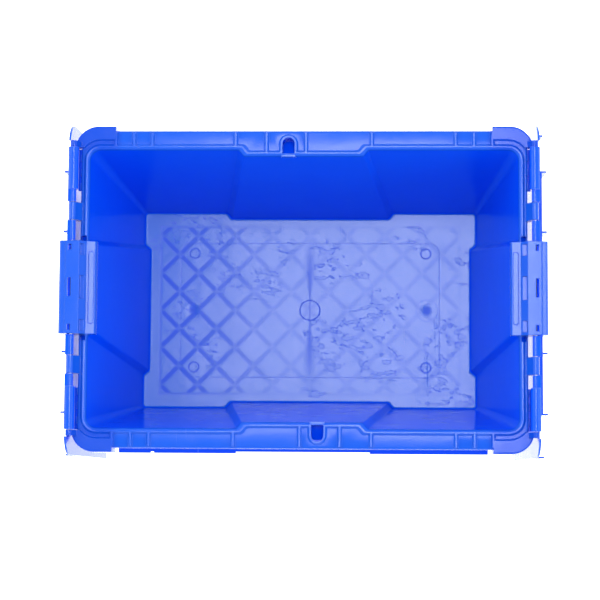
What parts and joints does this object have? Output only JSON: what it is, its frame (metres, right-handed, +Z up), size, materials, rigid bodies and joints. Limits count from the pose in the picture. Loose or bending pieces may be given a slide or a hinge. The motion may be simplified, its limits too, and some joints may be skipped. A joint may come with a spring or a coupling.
{
  "type": "attached lid storage crate",
  "caption": "Nestable tapered storage crate with hinged half lids at the short ends, opened and hanging down outside; grip blocks sit between the hinges.",
  "frame": {"origin": "centre of the overall box at its lowest plane, which is the underside of the base rim that the crate stands on", "axes": "+X along the crate's length towards the right lid, +Y across the width towards the far side, +Z up out of the open mouth"},
  "size_m": [0.6078, 0.4114, 0.3177],
  "materials": {
    "blue_plastic": "glossy injection-moulded polypropylene",
    "rod_steel": "drawn steel wire"
  },
  "bodies": {
    "crate": {"crate_body": "blue_plastic", "hinge_rod_left": "rod_steel", "hinge_rod_right": "rod_steel"},
    "lid_left": {"lid_left": "blue_plastic"},
    "lid_right": {"lid_right": "blue_plastic"}
  },
  "joints": [
    {"name": "lid_left_hinge", "type": "hinge", "parent": "crate", "child": "lid_left", "pos_m": [-0.2848, 0, 0.3115], "axis": [0, 1, 0], "range_deg": [-2, 272.5]},
    {"name": "lid_right_hinge", "type": "hinge", "parent": "crate", "child": "lid_right", "pos_m": [0.2848, 0, 0.3115], "axis": [0, -1, 0], "range_deg": [-2, 272.5]}
  ]
}
